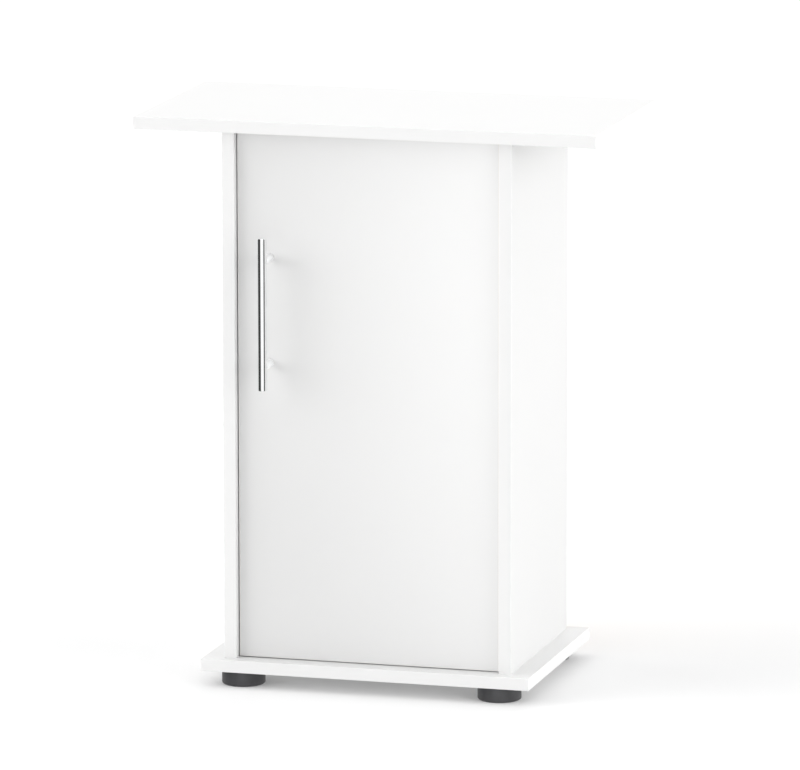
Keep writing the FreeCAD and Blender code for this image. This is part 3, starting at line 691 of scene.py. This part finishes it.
class CABINET_OT_back_panel(bpy.types.Operator):
    """Lacquers the back panel's front and leaves its rear as pressed hardboard"""
    bl_idname = "cabinet.back_panel"
    bl_label = "Back Panel"

    def execute(self, context):
        dress("back_panel", hardboard_finish(context.scene.cabinet_boards))
        return {"FINISHED"}


FOOT_WELL = 13 * MM             # radius of the hollow under a foot
FOOT_CROWN = 5 * MM             # thickness over the hollow
FOOT_LIP = 1.2 * MM             # bevel round the hollow's mouth
FOOT_GROOVE = (7 * MM, 6.4 * MM, 4.6 * MM, 4 * MM)  # the tread's groove, inwards from the rim
FOOT_GROOVE_DEPTH = 0.6 * MM
FOOT_LOWER_EDGE = 1.6 * MM      # bevels of the rim
FOOT_UPPER_EDGE = 0.4 * MM
FOOT_SCREW_HOLE = 2.4 * MM      # radius of the hole through the crown
FOOT_ROUND = 1.0 * MM           # rounding of the outline's corners, at most
FOOT_CREASE = 40.0              # degrees


class CABINET_OT_feet(bpy.types.Operator):
    """Turns the four moulded feet, with rounded treads and wells for their screws"""
    bl_idname = "cabinet.feet"
    bl_label = "Feet"

    def execute(self, context):
        settings = context.scene.cabinet_fittings
        plastic = moulded_finish("foot_plastic", settings.foot_colour, gloss=0.52,
                                 depth=0.02 * MM)
        for node in ("foot_front_left", "foot_front_right", "foot_rear_left", "foot_rear_right"):
            low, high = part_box(node)
            profile = self.profile((high.x - low.x) / 2, high.z - low.z)
            foot = ((low.x + high.x) / 2, (low.y + high.y) / 2, low.z)
            shell = Shell()
            shell.grid(turned(profile, foot, (0, 0, 1), settings.round_steps), around=True)
            finished(shell, node + "_moulded", plastic, CABINET, node,
                     FOOT_CREASE)
        return {"FINISHED"}

    @staticmethod
    def profile(rim, height):
        """A foot's closed outline, as (radius, height) from the well under its crown, down and out
        over the tread, up the rim and in to the screw's hole."""
        hole = (FOOT_SCREW_HOLE, height - FOOT_CROWN)
        groove = [(rim - inset, depth) for inset, depth
                  in zip(FOOT_GROOVE, (0, FOOT_GROOVE_DEPTH, FOOT_GROOVE_DEPTH, 0))]
        outer = [(FOOT_WELL, height - FOOT_CROWN), (FOOT_WELL, FOOT_LIP),
                 (FOOT_WELL + FOOT_LIP, 0), *groove, (rim - FOOT_LOWER_EDGE, 0),
                 (rim, FOOT_LOWER_EDGE), (rim, height - FOOT_UPPER_EDGE),
                 (rim - FOOT_UPPER_EDGE, height), (FOOT_SCREW_HOLE, height)]
        return np.concatenate([[hole], softened(outer, FOOT_ROUND, 5), [hole]])


POST_EASE = 0.35 * MM           # rounding of a handle post's end at the door
POST_EASE_MIDDLE = 0.1 * MM     # the rounding's middle, in from the post and out from the door
SADDLE_RINGS = 8                # rings of points over a post's end at the bar
BAR_EASE = 0.8 * MM             # rounding of the bar's ends


class CABINET_OT_handle(bpy.types.Operator):
    """Makes the plated bar handle: a turned bar and two posts that fit round it"""
    bl_idname = "cabinet.handle"
    bl_label = "Handle"

    def execute(self, context):
        settings = context.scene.cabinet_fittings
        chrome = plated_finish("handle_chrome", settings.chrome_colour, gloss=0.07,
                               lines=2.0 * MM, depth=0.0006 * MM, stretch=(1.0, 1.0, 0.05))
        low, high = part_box("handle_bar")
        radius = (high.x - low.x) / 2
        length = high.z - low.z
        middle = (low + high) / 2
        profile = softened([(0, 0), (radius, 0), (radius, length), (0, length)], BAR_EASE, 6)
        shell = Shell()
        shell.grid(turned(profile, (middle.x, middle.y, low.z), (0, 0, 1), settings.round_steps),
                   around=True)
        finished(shell, "handle_bar_turned", chrome, DOOR, "handle_bar")
        satin = plated_finish("handle_satin", settings.chrome_colour, gloss=0.36, lines=0.8 * MM,
                              depth=0.002 * MM, metal=0.25)
        for node in ("handle_post_upper", "handle_post_lower"):
            low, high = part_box(node)
            centre = ((low.x + high.x) / 2, high.y, (low.z + high.z) / 2)
            shell = Shell()
            shell.grid(self.post(centre, (high.z - low.z) / 2, middle.y, radius,
                                 settings.round_steps), around=True)
            finished(shell, node + "_saddled", satin, DOOR, node)
        return {"FINISHED"}

    @staticmethod
    def post(centre, outside, bar_y, bar, steps):
        """A post from the door to the bar: rings of radius r (rows) at angles a (columns), none
        larger than its outside. The door's end is flat, with its corner eased; at the bar's end a
        point that lies r cos a beside the bar's axis stops at the bar's surface,
        bar_y + sqrt(bar^2 - (r cos a)^2)."""
        angle = circle_angles(steps)
        at_door = [(0, 0), (outside - POST_EASE, 0),
                   (outside - POST_EASE_MIDDLE, POST_EASE_MIDDLE), (outside, POST_EASE)]
        radius = np.concatenate([[r for r, _ in at_door], [outside],
                                 np.linspace(outside, 0, SADDLE_RINGS)[1:]])
        x = centre[0] + np.outer(radius, np.cos(angle))
        z = centre[2] + np.outer(radius, np.sin(angle))
        y = bar_y + np.sqrt(bar ** 2 - (x - centre[0]) ** 2)
        y[:len(at_door)] = centre[1] - np.array([out for _, out in at_door])[:, None]
        return np.stack([x, y, z], axis=-1)


class CABINET_OT_hinges(bpy.types.Operator):
    """Eases and plates the hinges' cups, goose-neck arms, mounting plates and pins"""
    bl_idname = "cabinet.hinges"
    bl_label = "Hinges"

    def execute(self, context):
        settings = context.scene.cabinet_fittings
        nickel = plated_finish("hinge_nickel", settings.nickel_colour, gloss=0.26,
                               lines=0.8 * MM, depth=0.004 * MM)
        for level in ("upper", "lower"):
            eased("hinge_cup_" + level, nickel, DOOR)
            eased("hinge_arm_" + level, nickel, CABINET)
            eased("hinge_plate_" + level, nickel, CABINET)
            eased("hinge_pin_" + level, nickel, DOOR, radius=0.15 * MM)
        return {"FINISHED"}


class CABINET_OT_catch(bpy.types.Operator):
    """Eases and finishes the magnetic catch: white housing, magnet and plated strike plate"""
    bl_idname = "cabinet.catch"
    bl_label = "Magnetic Catch"

    def execute(self, context):
        settings = context.scene.cabinet_fittings
        white = moulded_finish("catch_plastic", (0.82, 0.82, 0.80), gloss=0.40, depth=0.01 * MM)
        eased("catch_housing", white, CABINET, radius=0.5 * MM)
        dress("catch_magnet", ferrite_finish())
        zinc = plated_finish("strike_zinc", settings.zinc_colour, gloss=0.32, lines=0.7 * MM,
                             depth=0.005 * MM)
        eased("strike_plate", zinc, DOOR)
        return {"FINISHED"}


SCREWS = {
    # node: (driven along, core radius and head height in millimetres, body)
    "handle_screws": ((0, -1, 0), 2.0, 2.4, DOOR),
    "hinge_cup_screws": ((0, -1, 0), 1.75, 1.8, DOOR),
    "hinge_plate_screws": ((1, 0, 0), 1.75, 1.8, CABINET),
    "hinge_arm_screws": ((1, 0, 0), 2.0, 1.8, CABINET),
    "catch_screws": ((-1, 0, 0), 1.75, 1.8, CABINET),
    "foot_screws": ((0, 0, 1), 2.25, 1.8, CABINET),
}


class CABINET_OT_screws(bpy.types.Operator):
    """Makes the screws of the handle, hinges, catch and feet, with cross recesses"""
    bl_idname = "cabinet.screws"
    bl_label = "Screws"

    def execute(self, context):
        settings = context.scene.cabinet_fittings
        zinc = plated_finish("screw_zinc", settings.zinc_colour, gloss=0.30, lines=0.5 * MM,
                             depth=0.004 * MM)
        for node, (axis, core, head, body) in SCREWS.items():
            shell = Shell()
            for box in solids(node):
                pan_screw(shell, box, axis, core * MM, head * MM)
            finished(shell, node + "_driven", zinc, body, node)
        dress("strike_screw", zinc)
        dress("base_screws", zinc)
        return {"FINISHED"}


class CABINET_OT_joinery(bpy.types.Operator):
    """Finishes the cam locks, bolts, dowels and shelf pins"""
    bl_idname = "cabinet.joinery"
    bl_label = "Joinery"

    def execute(self, context):
        settings = context.scene.cabinet_fittings
        cast = plated_finish("cam_zinc", settings.zinc_colour, gloss=0.42, lines=0.6 * MM,
                             depth=0.01 * MM)
        eased("cam_locks", cast, CABINET)
        dress("cam_bolts", cast)
        dress("dowels", beech_finish())
        nickel = plated_finish("pin_nickel", settings.nickel_colour, gloss=0.24, lines=0.6 * MM,
                               depth=0.003 * MM)
        eased("shelf_pins", nickel, CABINET)
        return {"FINISHED"}


# --- Studio ------------------------------------------------------------------------------------

# bearing to the right of the door's front and height, both in degrees, and brightness
SOFT_LIGHTS = ((-90, 10, 1.19), (-60, 10, 3.33), (60, 10, 2.43), (90, 10, 3.23), (-90, 35, 0.57),
               (-60, 35, 1.48), (-90, 60, 1.11), (90, 60, 1.45), (180, 25, 1.84), (180, 60, 1.30))
NARROWNESS = 12.0               # how fast a soft light falls off from its middle
# bearing in degrees, and brightness as polished metal shows it
SHINE_BANDS = ((-180, 0.7), (-125, 0.7), (-108, 0.8), (-101, 0.8), (-96, 0.05), (-28, 0.05),
               (-18, 1.1), (46, 1.1), (52, 0.08), (78, 0.08), (84, 0.9), (105, 0.9), (125, 0.7),
               (180, 0.7))
OVERHEAD_RISE = (0.02, 0.14)    # sines of the heights between which the overhead shine comes in
FLOOR_RINGS = (0.0, 0.5, 2.0, 8.0, 30.0)    # radii
FLOOR_STEPS = 96
PAPER_TOOTH = 0.6 * MM          # size of the floor's grain
POOL_FROM = Vector((0.9, -3.5, 0.9))
POOL_TO = Vector((0.95, -0.12, 0.60))
POOL_ANGLE = 33.4               # degrees across
POOL_EDGE = 0.15                # share of the pool that fades
POOL_SOURCE = 0.2               # radius of the lamp
LOOKED_AT = Vector((0.0046, 0.0075, 0.3755))
SENSOR_WIDTH = 36.0             # millimetres
NEAREST, FURTHEST = 0.05, 120.0     # what the camera shows, from itself


def towards(bearing, height):
    """The direction at a bearing to the right of the door's front and at a height angle."""
    return (math.sin(bearing) * math.cos(height), -math.cos(bearing) * math.cos(height),
            math.sin(height))


def even(brightness):
    """The sockets of a white background of one brightness."""
    return {"Color": (1.0, 1.0, 1.0, 1.0), "Strength": brightness}


class CABINET_OT_stage(bpy.types.Operator):
    """Lays the pale floor, hangs the soft lights and sets up the camera"""
    bl_idname = "cabinet.stage"
    bl_label = "Stage"

    def execute(self, context):
        settings = context.scene.cabinet_stage
        self.floor(settings)
        self.surround(settings)
        self.lamps(settings)
        self.camera(settings)
        context.scene.view_settings.view_transform = "Standard"
        return {"FINISHED"}

    @staticmethod
    def floor(settings):
        """A flat disc of rings (rows) and angles (columns) under the feet."""
        angle = circle_angles(FLOOR_STEPS)
        x = np.outer(FLOOR_RINGS, np.cos(angle))
        y = np.outer(FLOOR_RINGS, np.sin(angle))
        shell = Shell()
        shell.grid(np.stack([x, y, np.full_like(x, CAD_BOX[0][2])], axis=-1), around=True)
        floor = shell.mesh("studio_floor")
        if floor.data.polygons[0].normal.z < 0:
            floor.data.flip_normals()
        finish = Finish(bpy.data.materials.new("studio_paper"))
        tooth = finish.noise(finish.place(), size=PAPER_TOOTH)
        colour = finish.blend(tooth, tint(settings.floor_colour, 0.995), settings.floor_colour)
        floor.data.materials.append(finish.surface(
            Base_Color=colour, Roughness=0.9, Specular_IOR_Level=0.0,
            Emission_Color=(1.0, 1.0, 1.0, 1.0), Emission_Strength=settings.floor_glow))
        floor.visible_glossy = False

    @staticmethod
    def surround(settings):
        """What is matt gets the sum of broad soft lights: each is brightness * exp(narrowness
        (c - 1)), with c the cosine between a direction and the light's own. What shines sees
        upright bands instead, as in a studio with its panels in front and dark flats on either
        side, and they are brighter overhead. The camera sees white."""
        world = bpy.data.worlds.new("studio_surround")
        bpy.context.scene.world = world
        finish = Finish(world)
        direction = finish.place()
        parts = [finish.part(direction, axis) for axis in range(3)]
        glow = 0.0
        for bearing, height, brightness in SOFT_LIGHTS:
            middle = towards(math.radians(bearing), math.radians(height))
            cosine = sum(part * share for part, share in zip(parts, middle))
            lobe = finish.node("ShaderNodeMath", {0: (cosine - 1.0) * NARROWNESS},
                               operation="EXPONENT")
            glow = lobe * (brightness * settings.surround) + glow
        bearing = finish.node("ShaderNodeMath", {0: parts[0], 1: 0 - parts[1]}, operation="ARCTAN2")
        bands = finish.ramp(bearing / (2 * math.pi) + 0.5,
                            *[(0.5 + degrees / 360, (tone,) * 3) for degrees, tone in SHINE_BANDS])
        overhead = finish.span(parts[2], *OVERHEAD_RISE) * settings.overhead + 1.0
        shine = finish.node("ShaderNodeLightPath", out="Is Glossy Ray")
        seen = finish.node("ShaderNodeLightPath", out="Is Camera Ray")
        lit = finish.node("ShaderNodeBackground", even(glow))
        shown = finish.node("ShaderNodeBackground", {"Color": bands, "Strength": overhead})
        white = finish.node("ShaderNodeBackground", even(1.0))
        mixed = finish.node("ShaderNodeMixShader", {0: shine, 1: lit, 2: shown})
        mixed = finish.node("ShaderNodeMixShader", {0: seen, 1: mixed, 2: white})
        finish.node("ShaderNodeOutputWorld", {"Surface": mixed})

    @staticmethod
    def lamps(settings):
        """One round pool of light from the front, centred beside the cabinet, so that its soft edge
        crosses the door. It doesn't fall on the floor or on the edging round the carcass, which
        keep an even white."""
        unlit = bpy.data.collections.new("outside_pool")
        unlit.objects.link(bpy.data.objects["studio_floor"])
        for node in ("top_edge_bands", "base_edge_bands", "left_side_edge_band",
                     "right_side_edge_band"):
            unlit.objects.link(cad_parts[node])
        for linked in unlit.collection_objects:
            linked.light_linking.link_state = "EXCLUDE"
        lamp = bpy.data.lights.new("pool_lamp", "SPOT")
        lamp.energy = settings.pool_lamp
        lamp.spot_size = math.radians(POOL_ANGLE)
        lamp.spot_blend = POOL_EDGE
        lamp.shadow_soft_size = POOL_SOURCE
        lamp.specular_factor = 0.0
        holder = bpy.data.objects.new("pool_lamp", lamp)
        bpy.context.scene.collection.objects.link(holder)
        holder.location = POOL_FROM
        holder.rotation_euler = (POOL_TO - POOL_FROM).to_track_quat("-Z", "Y").to_euler()
        holder.visible_glossy = False
        holder.light_linking.receiver_collection = unlit

    @staticmethod
    def camera(settings):
        """Puts the camera on its bearing and height, looking at the middle of the cabinet."""
        back = Vector(towards(settings.azimuth, settings.elevation))
        right = Vector((math.cos(settings.azimuth), math.sin(settings.azimuth), 0))
        up = back.cross(right)
        turned_right = right * math.cos(settings.roll) + up * math.sin(settings.roll)
        turned_up = back.cross(turned_right)
        data = bpy.data.cameras.new("studio_camera")
        data.lens = settings.lens
        data.sensor_width = SENSOR_WIDTH
        data.clip_start = NEAREST
        data.clip_end = FURTHEST
        camera = bpy.data.objects.new("studio_camera", data)
        bpy.context.scene.collection.objects.link(camera)
        basis = Matrix((turned_right, turned_up, back)).transposed().to_4x4()
        camera.matrix_world = Matrix.Translation(LOOKED_AT + back * settings.distance) @ basis
        bpy.context.scene.camera = camera


# --- The add-on --------------------------------------------------------------------------------

OPERATORS = (CABINET_OT_boards, CABINET_OT_edging, CABINET_OT_back_panel, CABINET_OT_feet,
             CABINET_OT_handle, CABINET_OT_hinges, CABINET_OT_catch, CABINET_OT_screws,
             CABINET_OT_joinery, CABINET_OT_stage)
SETTINGS = {"cabinet_boards": BoardSettings, "cabinet_fittings": FittingSettings,
            "cabinet_stage": StageSettings}


class CABINET_PT_panel(bpy.types.Panel):
    """Lists the cabinet's settings and the steps that dress it"""
    bl_idname = "CABINET_PT_panel"
    bl_label = "Aquarium Stand Cabinet"
    bl_space_type = "VIEW_3D"
    bl_region_type = "UI"
    bl_category = "Cabinet"

    def draw(self, context):
        for name, group in SETTINGS.items():
            box = self.layout.box()
            for setting in group.__annotations__:
                box.prop(getattr(context.scene, name), setting)
        for operator in OPERATORS:
            self.layout.operator(operator.bl_idname)


def register():
    for group in SETTINGS.values():
        bpy.utils.register_class(group)
    for name, group in SETTINGS.items():
        setattr(bpy.types.Scene, name, PointerProperty(type=group))
    for operator in OPERATORS:
        bpy.utils.register_class(operator)
    bpy.utils.register_class(CABINET_PT_panel)


def unregister():
    bpy.utils.unregister_class(CABINET_PT_panel)
    for operator in reversed(OPERATORS):
        bpy.utils.unregister_class(operator)
    for name in SETTINGS:
        delattr(bpy.types.Scene, name)
    for group in SETTINGS.values():
        bpy.utils.unregister_class(group)


def main():
    register()
    for operator in OPERATORS:
        step = operator.bl_idname.split(".")[1]
        getattr(bpy.ops.cabinet, step)()


if __name__ == "__main__":
    main()
